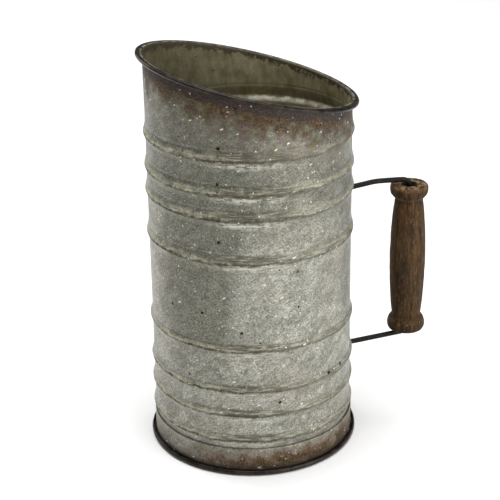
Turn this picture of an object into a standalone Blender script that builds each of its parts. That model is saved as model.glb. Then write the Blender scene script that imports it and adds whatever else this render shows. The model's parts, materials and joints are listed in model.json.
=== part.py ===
"""Scoop flour sifter: a ribbed sheet-steel cylinder with a slanted, wired mouth, a sieve in its foot
and a bent wire handle whose turned wooden grip spins.

Metres, +Z up. The origin is on the body's axis in the plane that the foot rests on. The handle points
along +X, the mouth's low side is on +X and its long lip on -X.
"""

import math

import bmesh
import bpy
from mathutils import Matrix, Vector

MM = 0.001
CLEARANCE = 0.3 * MM  # between pieces that touch on the real object
RING_STEPS = 36  # facets round the body
SMALL_STEPS = 12  # facets round rivets

# Body: a rolled sheet with swaged ribs
BODY_RADIUS = 63.5 * MM  # outside of the plain wall
SHEET = 0.5 * MM
RIB_HEIGHTS = [h * MM for h in (208.5, 187.5, 171.7, 143.8, 86.0, 58.1, 41.6, 23.6)]
RIB_PROUD = 1.4 * MM
RIB_WIDTH = 13.0 * MM
# Shares of the rib's width (up from its middle) and of how far it stands proud
RIB_SHAPE = [(0.5, 0.0), (0.24, 0.52), (0.0, 1.0), (-0.24, 0.52), (-0.5, 0.0)]
SEAM_ANGLE = math.radians(141)
SEAM_WIDTH = 5.0 * MM
SEAM_THICKNESS = 0.7 * MM
SEAM_TOP_BELOW_MOUTH = 5.0 * MM
SEAM_BOTTOM_ABOVE_BAND = 1.0 * MM

# Mouth: the wall turns out into a narrow flange whose edge is rolled over a wire
MOUTH_HEIGHT = 242.4 * MM  # top of the flange on the body's axis
MOUTH_SLOPE = 0.252  # fall for each unit along +X
SLANT_START = 215.4 * MM  # the wall is plain from here to the rim
RIM_HEIGHT = 3.6 * MM  # flange and roll, which keep their shape along the slant
MOUTH_BEND = 1.2 * MM
MOUTH_ROLL_RADIUS = 1.3 * MM
MOUTH_OUTER_RADIUS = 67.6 * MM
MOUTH_WIRE_RADIUS = 0.48 * MM
MOUTH_ROLL_START = -190  # degrees round the roll's centre, up to its top at 90

# Foot: a separate band wraps the wall's lower end, and a ring soldered inside it carries the sieve
WALL_BOTTOM = 3.9 * MM
SEAT_HEIGHT = 4.6 * MM  # middle of the sheet
SEAT_INNER_RADIUS = 57.5 * MM
SEAT_SKIRT_BOTTOM = 1.2 * MM
BAND_SHEET = 0.6 * MM
BAND_TOP = 18.2 * MM
FOOT_ROLL_RADIUS = 1.9 * MM
FOOT_ROLL_CENTRE = 65.2 * MM
FOOT_WIRE_RADIUS = 0.95 * MM
FOOT_ROLL_END = 420  # degrees round the roll's centre, where the curled edge stops
FOOT_FLAT = 22.5  # degrees each side of straight down that are flat

# Sieve: wire cloth held in a channel hoop, on two crossed stays
STAY_WIDTH = 6.0 * MM
STAY_SHEET = 0.6 * MM
HOOP_SHEET = 0.4 * MM
HOOP_RADIUS = 62.6 * MM
HOOP_INNER_RADIUS = 57.8 * MM
CLOTH_THICKNESS = 0.6 * MM
CLOTH_RADIUS = 61.8 * MM
CLOTH_PITCH = 9.5 * MM
CLOTH_BAR = 1.6 * MM
SPRING_WIRE_RADIUS = 1.1 * MM
SPRING_SPLIT = math.radians(9)
SPRING_SPLIT_START = math.radians(200)

# Handle: one bent wire, clinched inside the wall through two riveted backing plates
HANDLE_REACH = 107.0 * MM  # body's axis to the grip's axis
WIRE_RADIUS = 1.7 * MM
UPPER_HOLE_HEIGHT = 160.0 * MM
LOWER_HOLE_HEIGHT = 49.9 * MM
WIRE_UPPER_CREST = 162.3 * MM
WIRE_LOWER_RUN = 52.6 * MM
WIRE_BEND = 5.0 * MM
WIRE_EXIT_BEND = 12.0 * MM  # where it leaves the wall
WIRE_CREST_BEND = 40.0 * MM
WIRE_SHOULDER_BEND = 20.0 * MM
CLINCH_LENGTH = 8.0 * MM
CLINCH_BEND = 2.2 * MM
WIRE_SIDES_RESOLUTION = 2
HOLE_RADIUS = WIRE_RADIUS + CLEARANCE
PLATE_WIDTH = 20.0 * MM
PLATE_HEIGHT = 14.0 * MM
PLATE_SHEET = 0.8 * MM
RIVET_SPREAD = math.radians(6.3)  # each side of the wire
RIVET_SHANK_RADIUS = 1.2 * MM
RIVET_HEAD_RADIUS = 2.4 * MM
RIVET_HEAD_HEIGHT = 1.1 * MM
RIVET_TAIL_HEIGHT = 0.66 * MM

# Grip: turned wood, bored through for the wire
GRIP_TOP = 157.6 * MM
GRIP_BOTTOM = 55.1 * MM
GRIP_FLANGE_RADIUS = 12.3 * MM
GRIP_NECK_RADIUS = 8.9 * MM
GRIP_BARREL_RADIUS = 11.7 * MM
GRIP_BORE_RADIUS = 2.4 * MM
GRIP_COUNTERSINK = 1.2 * MM
GRIP_STEPS = 24

# Cutters reach well past what they cut
CUTTER_HEIGHT = 300.0 * MM
SECTOR_DEPTH = 30.0 * MM
DRILL_DEPTH = 14.0 * MM


def clear_scene():
    for obj in list(bpy.data.objects):
        bpy.data.objects.remove(obj, do_unlink=True)


def make_collection(name):
    collection = bpy.data.collections.new(name)
    bpy.context.scene.collection.children.link(collection)
    return collection


def make_material(name, colour, roughness, metallic):
    material = bpy.data.materials.new(name)
    material.use_nodes = True
    shader = material.node_tree.nodes["Principled BSDF"]
    shader.inputs["Base Color"].default_value = (*colour, 1.0)
    shader.inputs["Roughness"].default_value = roughness
    shader.inputs["Metallic"].default_value = metallic
    return material


def arc(centre, radius, start, end, points):
    """Points round a centre in the (radius, height) plane, angles in degrees."""
    turn = [math.radians(start + (end - start) * i / (points - 1)) for i in range(points)]
    return [(centre[0] + radius * math.cos(a), centre[1] + radius * math.sin(a)) for a in turn]


def sheet_section(midline, thickness):
    """The closed outline of a sheet of this thickness along its middle line."""
    points = [Vector(p) for p in midline]
    normals = []
    for i, point in enumerate(points):
        before = (point - points[i - 1]).normalized() if i else None
        after = (points[i + 1] - point).normalized() if i + 1 < len(points) else None
        sides = [Vector((-d.y, d.x)) for d in (before, after) if d is not None]
        mean = sum(sides, Vector((0.0, 0.0))).normalized()
        normals.append(mean / max(mean.dot(sides[0]), 0.5))
    left = [p + n * thickness / 2 for p, n in zip(points, normals)]
    right = [p - n * thickness / 2 for p, n in zip(points, normals)]
    return [tuple(p) for p in left + right[::-1]]


def clockwise(section):
    """The same outline, running down its outer side, so that a Screw turns it face out."""
    ends = zip(section, section[1:] + section[:1])
    area = sum(a[0] * b[1] - b[0] * a[1] for a, b in ends)
    return section if area < 0 else section[::-1]


def link(obj, collection, material=None):
    collection.objects.link(obj)
    if material:
        obj.data.materials.append(material)
    return obj


def turned(name, section, collection, material=None, steps=RING_STEPS, closed=True):
    """A profile in the XZ plane turned about Z: a closed one is a ring, an open one ends on the axis."""
    mesh = bpy.data.meshes.new(name)
    points = clockwise(section) if closed else section
    edges = [(i, i + 1) for i in range(len(points) - 1)]
    if closed:
        edges.append((len(points) - 1, 0))
    mesh.from_pydata([(r, 0.0, z) for r, z in points], edges, [])
    obj = link(bpy.data.objects.new(name, mesh), collection, material)
    screw = obj.modifiers.new("turn", "SCREW")
    screw.axis = "Z"
    screw.steps = screw.render_steps = steps
    screw.use_merge_vertices = True
    screw.merge_threshold = 1e-6
    screw.use_smooth_shade = True
    return obj


def as_mesh(obj, weld=1e-6):
    """The object with its modifiers applied, and a curve's caps welded."""
    bpy.context.view_layer.update()
    graph = bpy.context.evaluated_depsgraph_get()
    mesh = bpy.data.meshes.new_from_object(obj.evaluated_get(graph))
    bm = bmesh.new()
    bm.from_mesh(mesh)
    bmesh.ops.remove_doubles(bm, verts=bm.verts, dist=weld)
    bm.to_mesh(mesh)
    bm.free()
    solid = bpy.data.objects.new(obj.name, mesh)
    solid.matrix_world = obj.matrix_world
    for collection in obj.users_collection:
        collection.objects.link(solid)
    name = obj.name
    bpy.data.objects.remove(obj, do_unlink=True)
    solid.name = name
    return solid


def smooth(obj, angle=35):
    obj.data.shade_smooth()
    obj.data.set_sharp_from_angle(angle=math.radians(angle))


def boolean(obj, other, operation):
    modifier = obj.modifiers.new(operation.lower(), "BOOLEAN")
    modifier.operation = operation
    modifier.solver = "EXACT"
    modifier.object = other


def as_cutter(obj):
    obj.hide_render = True
    obj.display_type = "WIRE"
    return obj


def box(name, size, centre, angle, collection, material=None):
    """A box at this place, turned about the Z axis by this angle."""
    mesh = bpy.data.meshes.new(name)
    bm = bmesh.new()
    bmesh.ops.create_cube(bm, size=1.0)
    bmesh.ops.scale(bm, vec=size, verts=bm.verts)
    bm.to_mesh(mesh)
    bm.free()
    obj = link(bpy.data.objects.new(name, mesh), collection, material)
    obj.matrix_world = Matrix.Rotation(angle, 4, "Z") @ Matrix.Translation(centre)
    return obj


def radial_drill(name, radius, angle, height, cutters):
    """A cylinder across the body's wall, pointing out from the axis at this angle."""
    mesh = bpy.data.meshes.new(name)
    bm = bmesh.new()
    bmesh.ops.create_cone(
        bm, cap_ends=True, segments=SMALL_STEPS, radius1=radius, radius2=radius, depth=DRILL_DEPTH
    )
    bm.to_mesh(mesh)
    bm.free()
    obj = as_cutter(link(bpy.data.objects.new(name, mesh), cutters))
    lie_down = Matrix.Translation((BODY_RADIUS, 0.0, height)) @ Matrix.Rotation(math.pi / 2, 4, "Y")
    obj.matrix_world = Matrix.Rotation(angle, 4, "Z") @ lie_down
    return obj


def wire(name, points, radius, collection, material, cyclic=False):
    """A round wire along these points."""
    curve = bpy.data.curves.new(name, "CURVE")
    curve.dimensions = "3D"
    curve.bevel_depth = radius
    curve.bevel_resolution = WIRE_SIDES_RESOLUTION
    curve.use_fill_caps = True
    spline = curve.splines.new("POLY")
    spline.points.add(len(points) - 1)
    for point, place in zip(spline.points, points):
        point.co = (*place, 1.0)
    spline.use_cyclic_u = cyclic
    spline.use_smooth = True
    return link(bpy.data.objects.new(name, curve), collection, material)


def rounded(corners, points_per_bend=6):
    """A path through (place, bend radius) corners with each bend as an arc."""
    path = [Vector(corners[0][0])]
    for (before, _), (corner, radius), (after, _) in zip(corners, corners[1:], corners[2:]):
        corner = Vector(corner)
        into = (corner - Vector(before)).normalized()
        out = (Vector(after) - corner).normalized()
        turn = into.angle(out)
        if turn < 1e-4 or radius == 0:
            path.append(corner)
            continue
        start = corner - into * radius * math.tan(turn / 2)
        centre = start + (out - into * into.dot(out)).normalized() * radius
        spoke = start - centre
        axis = into.cross(out).normalized()
        for i in range(points_per_bend):
            path.append(centre + Matrix.Rotation(turn * i / (points_per_bend - 1), 3, axis) @ spoke)
    path.append(Vector(corners[-1][0]))
    return path


def wall_midline(radius, top, bottom):
    """The ribbed wall's middle line from top to bottom, at this plain radius."""
    line = [(radius, top)]
    for height in RIB_HEIGHTS:
        for along, proud in RIB_SHAPE:
            z = height + along * RIB_WIDTH
            if bottom < z < top:
                line.append((radius + proud * RIB_PROUD, z))
    line.append((radius, bottom))
    return line


def slant(obj):
    """Leans the mouth: the rim moves as one, and the plain wall under it stretches to follow."""
    rim_base = MOUTH_HEIGHT - RIM_HEIGHT
    for vertex in obj.data.vertices:
        share = (vertex.co.z - SLANT_START) / (rim_base - SLANT_START)
        vertex.co.z -= MOUTH_SLOPE * vertex.co.x * min(max(share, 0.0), 1.0)


def roll_centre():
    """The middle of the roll round the mouth, before the slant."""
    return (MOUTH_OUTER_RADIUS - MOUTH_ROLL_RADIUS, MOUTH_HEIGHT - MOUTH_ROLL_RADIUS)


def body_shell(parts, cutters, material):
    """Rolled sheet with ribs, a rolled mouth, a side seam and holes for the handle's fixings."""
    plain = BODY_RADIUS - SHEET / 2
    roll = arc(roll_centre(), MOUTH_ROLL_RADIUS - SHEET / 2, MOUTH_ROLL_START, 90, 9)
    flange_height = roll[-1][1]
    bend = arc((plain + MOUTH_BEND, flange_height - MOUTH_BEND), MOUTH_BEND, 90, 180, 3)
    wall = wall_midline(plain, MOUTH_HEIGHT - RIM_HEIGHT, WALL_BOTTOM)
    slant_row = [(plain, SLANT_START)]
    midline = roll + bend + wall[:1] + slant_row + wall[1:]
    body = as_mesh(turned("body_shell", sheet_section(midline, SHEET), parts, material))

    # The seam is a strip of doubled sheet: a slightly thicker ribbed ring, cut to one narrow sector
    seam_top = MOUTH_HEIGHT - SEAM_TOP_BELOW_MOUTH
    seam_midline = wall_midline(BODY_RADIUS, seam_top, BAND_TOP + SEAM_BOTTOM_ABOVE_BAND)
    seam_midline.insert(1, (BODY_RADIUS, SLANT_START))
    ring = turned("seam_ring", sheet_section(seam_midline, SEAM_THICKNESS), cutters)
    ring = as_cutter(as_mesh(ring))
    sector_size = (SECTOR_DEPTH, SEAM_WIDTH, CUTTER_HEIGHT)
    sector_centre = (BODY_RADIUS, 0.0, MOUTH_HEIGHT / 2)
    sector = box("seam_sector", sector_size, sector_centre, SEAM_ANGLE, cutters)
    boolean(ring, as_cutter(sector), "INTERSECT")
    boolean(body, ring, "UNION")
    for hole, height in (("upper", UPPER_HOLE_HEIGHT), ("lower", LOWER_HOLE_HEIGHT)):
        for drill in fixing_drills(hole, height, cutters):
            boolean(body, drill, "DIFFERENCE")
    body = as_mesh(body)
    slant(body)
    smooth(body)
    return body


def fixing_drills(hole, height, cutters):
    """The wire's hole and the two rivet holes beside it."""
    rivet_hole = RIVET_SHANK_RADIUS + CLEARANCE
    return [
        radial_drill(f"{hole}_wire_drill", HOLE_RADIUS, 0.0, height, cutters),
        radial_drill(f"{hole}_left_drill", rivet_hole, RIVET_SPREAD, height, cutters),
        radial_drill(f"{hole}_right_drill", rivet_hole, -RIVET_SPREAD, height, cutters),
    ]


def foot_band(parts, material):
    """A separate sleeve round the wall's lower end, rolled out at its foot round a wire."""
    wall_radius = BODY_RADIUS + CLEARANCE + BAND_SHEET / 2
    roll_radius = FOOT_ROLL_RADIUS - BAND_SHEET / 2
    centre = (FOOT_ROLL_CENTRE, FOOT_ROLL_RADIUS)
    start = math.degrees(math.acos((wall_radius - FOOT_ROLL_CENTRE) / roll_radius))
    wall = [(wall_radius, BAND_TOP), (wall_radius, centre[1] + roll_radius)]
    # Two points share the lowest height, so that the foot stands on a flat ring
    round_start = arc(centre, roll_radius, start, 270 - FOOT_FLAT, 4)
    round_end = arc(centre, roll_radius, 270 + FOOT_FLAT, FOOT_ROLL_END, 7)
    section = sheet_section(wall + round_start + round_end, BAND_SHEET)
    lowest = min(z for _, z in section)
    section = [(r, z - lowest) for r, z in section]
    band = as_mesh(turned("foot_band", section, parts, material))
    smooth(band)
    return band


def sieve_seat(parts, material):
    """A ring inside the foot: a flat ledge for the sieve, with a skirt soldered to the wall."""
    skirt_radius = BODY_RADIUS - SHEET - CLEARANCE - SHEET / 2
    midline = [
        (skirt_radius, SEAT_SKIRT_BOTTOM),
        (skirt_radius, SEAT_HEIGHT),
        (SEAT_INNER_RADIUS, SEAT_HEIGHT),
    ]
    seat = as_mesh(turned("sieve_seat", sheet_section(midline, SHEET), parts, material))
    smooth(seat)
    return seat


def ring_wire(name, centre, radius, parts, material):
    """A closed wire ring of hexagonal section, which a rolled edge wraps."""
    section = arc(centre, radius, 0, 300, 6)
    ring = as_mesh(turned(name, section, parts, material))
    smooth(ring, 70)
    return ring


def sieve(parts, cutters, steel, cloth):
    """Two crossed stays on the seat, then the hoop with its wire cloth, then a split spring ring."""
    height = SEAT_HEIGHT + SHEET / 2 + CLEARANCE
    trim_profile = disc_profile(HOOP_RADIUS, -BAND_TOP, BAND_TOP)
    trim = as_cutter(as_mesh(turned("stay_trim", trim_profile, cutters, closed=False)))
    for name, angle in (("sieve_stay_lower", 0.0), ("sieve_stay_upper", math.pi / 2)):
        size = (2.2 * HOOP_RADIUS, STAY_WIDTH, STAY_SHEET)
        stay = box(name, size, (0.0, 0.0, height + STAY_SHEET / 2), angle, parts, steel)
        boolean(stay, trim, "INTERSECT")
        height += STAY_SHEET + CLEARANCE

    gap = CLOTH_THICKNESS + 2 * CLEARANCE
    inside = HOOP_RADIUS - HOOP_SHEET
    top = height + gap + 2 * HOOP_SHEET
    section = [
        (HOOP_RADIUS, top),
        (HOOP_RADIUS, height),
        (HOOP_INNER_RADIUS, height),
        (HOOP_INNER_RADIUS, height + HOOP_SHEET),
        (inside, height + HOOP_SHEET),
        (inside, top - HOOP_SHEET),
        (HOOP_INNER_RADIUS, top - HOOP_SHEET),
        (HOOP_INNER_RADIUS, top),
    ]
    smooth(as_mesh(turned("sieve_hoop", section, parts, steel)))

    low = height + HOOP_SHEET + CLEARANCE
    profile = disc_profile(CLOTH_RADIUS, low, low + CLOTH_THICKNESS)
    screen = as_mesh(turned("sieve_screen", profile, parts, cloth, closed=False))
    boolean(screen, mesh_openings(low, cutters), "DIFFERENCE")

    ring_radius = HOOP_RADIUS - SPRING_WIRE_RADIUS - CLEARANCE
    ring_height = top + CLEARANCE + SPRING_WIRE_RADIUS
    start = SPRING_SPLIT_START + SPRING_SPLIT
    length = 2 * math.pi - SPRING_SPLIT
    turn = [start + length * i / RING_STEPS for i in range(RING_STEPS + 1)]
    places = [(ring_radius * math.cos(a), ring_radius * math.sin(a), ring_height) for a in turn]
    wire("sieve_spring_ring", places, SPRING_WIRE_RADIUS, parts, steel)


def disc_profile(radius, low, high):
    return [(0.0, high), (radius, high), (radius, low), (0.0, low)]


def mesh_openings(low, cutters):
    """Square cutters on a grid, kept clear of the cloth's edge."""
    mesh = bpy.data.meshes.new("cloth_openings")
    bm = bmesh.new()
    reach = int(CLOTH_RADIUS / CLOTH_PITCH) + 1
    limit = HOOP_INNER_RADIUS - 1 * MM
    side = CLOTH_PITCH - CLOTH_BAR
    for i in range(-reach, reach):
        for j in range(-reach, reach):
            centre = Vector(((i + 0.5) * CLOTH_PITCH, (j + 0.5) * CLOTH_PITCH, low))
            far_corner = Vector((abs(centre.x) + side / 2, abs(centre.y) + side / 2))
            if far_corner.length > limit:
                continue
            made = bmesh.ops.create_cube(bm, size=1.0)["verts"]
            bmesh.ops.scale(bm, vec=(side, side, side), verts=made)
            bmesh.ops.translate(bm, vec=centre, verts=made)
    bm.to_mesh(mesh)
    bm.free()
    return as_cutter(link(bpy.data.objects.new("cloth_openings", mesh), cutters))


def handle_wire(parts, material):
    """One wire: clinched inside the wall, out over the grip, down its bore and back under it."""
    inside = BODY_RADIUS - SHEET - CLEARANCE - PLATE_SHEET - CLEARANCE - WIRE_RADIUS
    wall = BODY_RADIUS + 1.5 * MM
    crest = BODY_RADIUS + 20 * MM
    shoulder = HANDLE_REACH - 2 * WIRE_BEND
    corners = [
        ((inside, 0.0, UPPER_HOLE_HEIGHT - CLINCH_LENGTH), 0),
        ((inside, 0.0, UPPER_HOLE_HEIGHT), CLINCH_BEND),
        ((wall, 0.0, UPPER_HOLE_HEIGHT), WIRE_EXIT_BEND),
        ((crest, 0.0, WIRE_UPPER_CREST), WIRE_CREST_BEND),
        ((shoulder, 0.0, WIRE_UPPER_CREST - 0.6 * MM), WIRE_SHOULDER_BEND),
        ((HANDLE_REACH, 0.0, WIRE_UPPER_CREST - 1.4 * MM), WIRE_BEND),
        ((HANDLE_REACH, 0.0, WIRE_LOWER_RUN), WIRE_BEND - 0.6 * MM),
        ((wall, 0.0, LOWER_HOLE_HEIGHT), WIRE_EXIT_BEND),
        ((inside, 0.0, LOWER_HOLE_HEIGHT), CLINCH_BEND),
        ((inside, 0.0, LOWER_HOLE_HEIGHT - CLINCH_LENGTH), 0),
    ]
    return wire("handle_wire", rounded(corners), WIRE_RADIUS, parts, material)


def backing_plate(name, height, drills, parts, cutters, material):
    """A small curved plate inside the wall that spreads the wire's load."""
    outer = BODY_RADIUS - SHEET - CLEARANCE
    section = [
        (outer, height + PLATE_HEIGHT / 2),
        (outer, height - PLATE_HEIGHT / 2),
        (outer - PLATE_SHEET, height - PLATE_HEIGHT / 2),
        (outer - PLATE_SHEET, height + PLATE_HEIGHT / 2),
    ]
    plate = as_mesh(turned(name, section, parts, material))
    size = (SECTOR_DEPTH, PLATE_WIDTH, 2 * PLATE_HEIGHT)
    sector = as_cutter(box(f"{name}_sector", size, (BODY_RADIUS, 0.0, height), 0.0, cutters))
    boolean(plate, sector, "INTERSECT")
    for drill in drills:
        boolean(plate, drill, "DIFFERENCE")
    return plate


def rivet(name, angle, height, parts, material):
    """A domed rivet through the wall and its backing plate."""
    outer_seat = BODY_RADIUS + CLEARANCE
    inner_seat = BODY_RADIUS - SHEET - 2 * CLEARANCE - PLATE_SHEET
    dome = [(0.0, outer_seat + RIVET_HEAD_HEIGHT)]
    for share in (0.45, 0.8, 1.0):
        proud = RIVET_HEAD_HEIGHT * math.sqrt(1 - 0.9 * share * share)
        dome.append((RIVET_HEAD_RADIUS * share, outer_seat + proud))
    profile = dome + [
        (RIVET_HEAD_RADIUS, outer_seat),
        (RIVET_SHANK_RADIUS, outer_seat),
        (RIVET_SHANK_RADIUS, inner_seat),
        (0.85 * RIVET_HEAD_RADIUS, inner_seat),
        (0.7 * RIVET_HEAD_RADIUS, inner_seat - RIVET_TAIL_HEIGHT),
        (0.0, inner_seat - RIVET_TAIL_HEIGHT),
    ]
    made = turned(name, profile, parts, material, steps=SMALL_STEPS, closed=False)
    to_wall = Matrix.Translation((0.0, 0.0, height)) @ Matrix.Rotation(angle, 4, "Z")
    made.matrix_world = to_wall @ Matrix.Rotation(math.pi / 2, 4, "Y")
    return made


def grip_outline():
    """The turned outline from top to bottom: end flange, neck, barrel, neck, end bead."""
    flange = GRIP_FLANGE_RADIUS
    barrel_top = GRIP_TOP - 12.0 * MM
    barrel_bottom = GRIP_BOTTOM + 11.0 * MM
    outline = [
        (GRIP_BORE_RADIUS + GRIP_COUNTERSINK, GRIP_TOP),
        (flange - 1.2 * MM, GRIP_TOP),
        (flange, GRIP_TOP - 1.4 * MM),
        (flange, GRIP_TOP - 4.6 * MM),
        (flange - 1.6 * MM, GRIP_TOP - 7.4 * MM),
        (GRIP_NECK_RADIUS, GRIP_TOP - 9.8 * MM),
    ]
    stations = 9
    for i in range(stations):
        share = i / (stations - 1)
        end_radius = GRIP_NECK_RADIUS + 0.4 * MM * share
        bulge = (GRIP_BARREL_RADIUS - end_radius) * math.sin(math.pi * share) ** 0.8
        outline.append((end_radius + bulge, barrel_top + (barrel_bottom - barrel_top) * share))
    outline += [
        (flange - 0.9 * MM, GRIP_BOTTOM + 7.6 * MM),
        (flange + 0.1 * MM, GRIP_BOTTOM + 4.6 * MM),
        (flange - 0.3 * MM, GRIP_BOTTOM + 1.6 * MM),
        (flange - 1.5 * MM, GRIP_BOTTOM),
        (GRIP_BORE_RADIUS + GRIP_COUNTERSINK, GRIP_BOTTOM),
    ]
    return outline


def grip(parts, material):
    """Turned wood, with its origin on the axis that it spins about."""
    middle = (GRIP_TOP + GRIP_BOTTOM) / 2
    bore = [
        (GRIP_BORE_RADIUS, GRIP_BOTTOM + 3 * MM),
        (GRIP_BORE_RADIUS, GRIP_TOP - 4 * MM),
    ]
    section = [(r, z - middle) for r, z in grip_outline() + bore]
    made = as_mesh(turned("grip", section, parts, material, steps=GRIP_STEPS))
    made.location = (HANDLE_REACH, 0.0, middle)
    smooth(made, 40)
    return made


def main():
    clear_scene()
    parts = make_collection("flour_sifter")
    cutters = make_collection("cutters")
    galvanised = make_material("galvanised_sheet", (0.42, 0.42, 0.38), 0.45, 1.0)
    rim_steel = make_material("dark_rim_steel", (0.09, 0.08, 0.06), 0.5, 1.0)
    dark_wire = make_material("dark_wire", (0.05, 0.04, 0.035), 0.5, 1.0)
    cloth = make_material("wire_cloth", (0.5, 0.5, 0.47), 0.4, 1.0)
    wood = make_material("weathered_wood", (0.14, 0.075, 0.035), 0.7, 0.0)

    body_shell(parts, cutters, galvanised)
    foot_band(parts, galvanised)
    sieve_seat(parts, galvanised)
    slant(ring_wire("mouth_rim_wire", roll_centre(), MOUTH_WIRE_RADIUS, parts, rim_steel))
    ring_wire("foot_rim_wire", (FOOT_ROLL_CENTRE, FOOT_ROLL_RADIUS), FOOT_WIRE_RADIUS, parts, rim_steel)
    sieve(parts, cutters, galvanised, cloth)
    handle_wire(parts, dark_wire)
    for end, height in (("upper", UPPER_HOLE_HEIGHT), ("lower", LOWER_HOLE_HEIGHT)):
        drills = [cutters.objects[f"{end}_{side}_drill"] for side in ("wire", "left", "right")]
        backing_plate(f"backing_plate_{end}", height, drills, parts, cutters, galvanised)
        for side, angle in (("left", RIVET_SPREAD), ("right", -RIVET_SPREAD)):
            rivet(f"rivet_{end}_{side}", angle, height, parts, galvanised)
    grip(parts, wood)


main()
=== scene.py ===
"""Looks of the scoop flour sifter: ribbed galvanised sheet with a slanted rolled mouth, a woven sieve
in the foot, a bent wire handle and a turned wooden grip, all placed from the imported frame.

Metres, +Z up, with the body's axis on Z, the handle along +X and the mouth's low side on +X.
"""

import json
import math

import bpy
import numpy as np
from mathutils import Matrix, Vector, noise


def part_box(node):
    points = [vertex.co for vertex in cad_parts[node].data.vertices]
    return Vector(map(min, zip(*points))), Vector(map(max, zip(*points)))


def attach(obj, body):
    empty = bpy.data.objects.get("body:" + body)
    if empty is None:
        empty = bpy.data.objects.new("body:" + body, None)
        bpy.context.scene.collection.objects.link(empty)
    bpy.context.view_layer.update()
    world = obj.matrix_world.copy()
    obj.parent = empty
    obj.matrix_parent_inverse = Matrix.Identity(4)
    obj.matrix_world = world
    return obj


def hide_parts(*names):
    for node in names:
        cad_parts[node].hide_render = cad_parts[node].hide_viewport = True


MM = 0.001
BODY = "sifter"
GRIP = "grip"

# Sheet metal
SHEET = 0.5 * MM
GAP = 0.3 * MM  # between touching pieces
RIB_PROUD = 1.4 * MM
RIB_UPPER_FLANK = 6.2 * MM
RIB_LOWER_FLANK = 3.8 * MM
LOW_RIBS = 4  # the lowest ribs are narrower above their crests
LOW_RIB_WIDTH = 0.72
RIB_LIP = 0.16 * MM
RIB_LIP_ABOVE = 7.2 * MM
RIB_LIP_WIDTH = 0.8 * MM
RIB_CREST_ROUNDING = 0.4 * MM
RIB_FLARE = 1.25
MOUTH_BEND = 1.2 * MM
MOUTH_ROLL = 1.05 * MM  # radius of the rolled edge, to the middle of the sheet
RIM_HEIGHT = 3.6 * MM
SLANT_START = 6.9 * MM  # above the highest rib
ROUGH_ROW = 1.6 * MM  # height of a row of faces on the plain wall
FINE_ROW = 0.4 * MM
WANDER = 0.9 * MM  # how far the ribs' stains wander up and down
BAND_SHEET = 0.6 * MM
SLEEVE_ROWS = 16
SEAM_PROUD = 0.35 * MM
SEAM_TOP = 5 * MM  # below the mouth
SEAM_HALF_WIDTH = 2.5 * MM
SEAM_SECTION = ((-1, -0.1), (-0.96, 0.28), (-0.8, 0.36), (0.8, 0.36), (0.96, 0.28), (1, -0.1))
ROUND = 360  # steps round the body
SHARP = math.radians(40)

# Sieve and handle
SMALL_ROUND = 240  # steps round the sieve's rings
HOOP_SHEET = 0.4 * MM
EASED_CORNER = 0.12 * MM
CLOTH_PITCH = 1.6 * MM
CLOTH_WIRE_RADIUS = 0.17 * MM
PLATE_SHEET = 0.8 * MM
PLATE_CORNER = 2.2 * MM
RIVET_HEAD = 1.1 * MM
RIVET_TAIL = 0.66 * MM
AXIS = 0.01 * MM  # the least radius of a turned piece
GRIP_STEPS = 128

# Colours, in linear light
BROWN_CAST = (0.25, 0.23, 0.19)
# Painted highlight on the ribs' upper flanks
FLANK_HIGHLIGHT_DIM = (0.28, 0.27, 0.19)
FLANK_HIGHLIGHT = (0.58, 0.56, 0.41)
# Painted shade on the ribs' upper flanks
FLANK_SHADE = (0.066, 0.063, 0.046)
# Painted shade in lines along the ribs' crests
SHADE_OLIVE = (0.046, 0.043, 0.02)
SHADE_BROWN = (0.056, 0.04, 0.024)
# Painted highlight in a line under each rib's crest
ZINC_HIGHLIGHT = (0.46, 0.45, 0.385)
RUST_DARK = (0.013, 0.009, 0.005)
RUST_BROWN = (0.078, 0.052, 0.026)
RUST_ORANGE = (0.19, 0.1, 0.03)
RUST_OLIVE = (0.085, 0.08, 0.034)
HALO_MAUVE = (0.15, 0.1, 0.1)
HALO_OLIVE = (0.115, 0.112, 0.05)
VIOLET_DARK = (0.016, 0.011, 0.009)
VIOLET_PALE = (0.062, 0.045, 0.041)
FOOT_STAIN = (0.115, 0.068, 0.04)
FOOT_BOTTOM_DARK = (0.026, 0.02, 0.015)
INSIDE_DARK = (0.076, 0.067, 0.035)
INSIDE_PALE = (0.128, 0.115, 0.068)
# Painted highlight in the ribs' hollows inside
INSIDE_HIGHLIGHT = (0.8, 0.78, 0.66)
INSIDE_RUST = (0.036, 0.027, 0.015)
PIT_BLACK = (0.012, 0.01, 0.006)
ROLL_BLACK = (0.009, 0.007, 0.005)
ROLL_BROWN = (0.034, 0.024, 0.016)
ROLL_CRUMB = (0.16, 0.135, 0.1)
ROLL_BARE = (0.25, 0.235, 0.19)
WIRE_BLACK = (0.007, 0.006, 0.005)
WIRE_BROWN = (0.026, 0.017, 0.01)
WIRE_CRUMB = (0.06, 0.048, 0.036)
CLOTH_DUST = (0.22, 0.19, 0.14)
WOOD_DARK = (0.027, 0.0145, 0.0055)
WOOD_BROWN = (0.084, 0.043, 0.015)
WOOD_GREY = (0.045, 0.036, 0.021)
WOOD_TAN = (0.145, 0.082, 0.036)
WOOD_CRACK = (0.006, 0.004, 0.002)
WOOD_WORN = (0.2, 0.125, 0.062)
SAWN_DARK = (0.008, 0.005, 0.002)
SAWN_TAN = (0.22, 0.14, 0.07)
# Painted shade in the grip's grooves and bore
WOOD_RECESS_SHADE = (0.006, 0.004, 0.003)

# Camera, fitted to the photo
CAMERA_PLACE = (-0.24905, -0.86715, 0.51910)
CAMERA_AIM = (-0.0004, 0.0001, 0.1258)
CAMERA_ROLL = -0.0167
CAMERA_LENS = 111.7


# ---- measuring the frame


def corners_of(obj):
    """The corners of a mesh object as an array."""
    flat = np.empty(3 * len(obj.data.vertices))
    obj.data.vertices.foreach_get("co", flat)
    return flat.reshape(-1, 3)


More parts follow.
